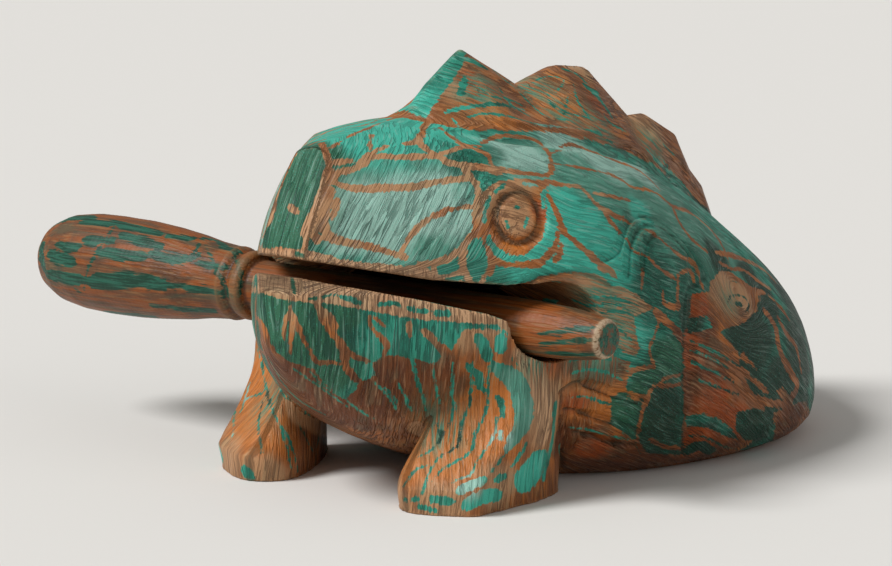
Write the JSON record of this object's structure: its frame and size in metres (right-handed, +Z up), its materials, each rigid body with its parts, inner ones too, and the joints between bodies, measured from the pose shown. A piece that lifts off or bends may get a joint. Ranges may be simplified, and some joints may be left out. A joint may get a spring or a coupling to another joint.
{
  "type": "frog guiro",
  "caption": "Carved hollow wooden frog with a ridged back and a keyhole mouth, and a turned striker kept crosswise in its mouth.",
  "frame": {"origin": "on the ground under the middle of the frog's back, in the plane of its sawn flat belly and feet", "axes": "+Z up, -Y the way the frog looks, +X the frog's left, along the stored striker from its handle to its tip"},
  "size_m": [0.1377, 0.1323, 0.0764],
  "materials": {
    "painted_wood": "thin hand-painted teal net on carved, slightly worn wood",
    "stained_wood": "turned wood, brown stain with rows of dark green dabs"
  },
  "bodies": {
    "frog": {"frog_body": "painted_wood"},
    "striker": {"striker": "stained_wood"}
  },
  "joints": [
    {"name": "striker_pull", "type": "slide", "parent": "frog", "child": "striker", "axis": [-1, 0, 0], "range_m": [0, 0.09]}
  ]
}
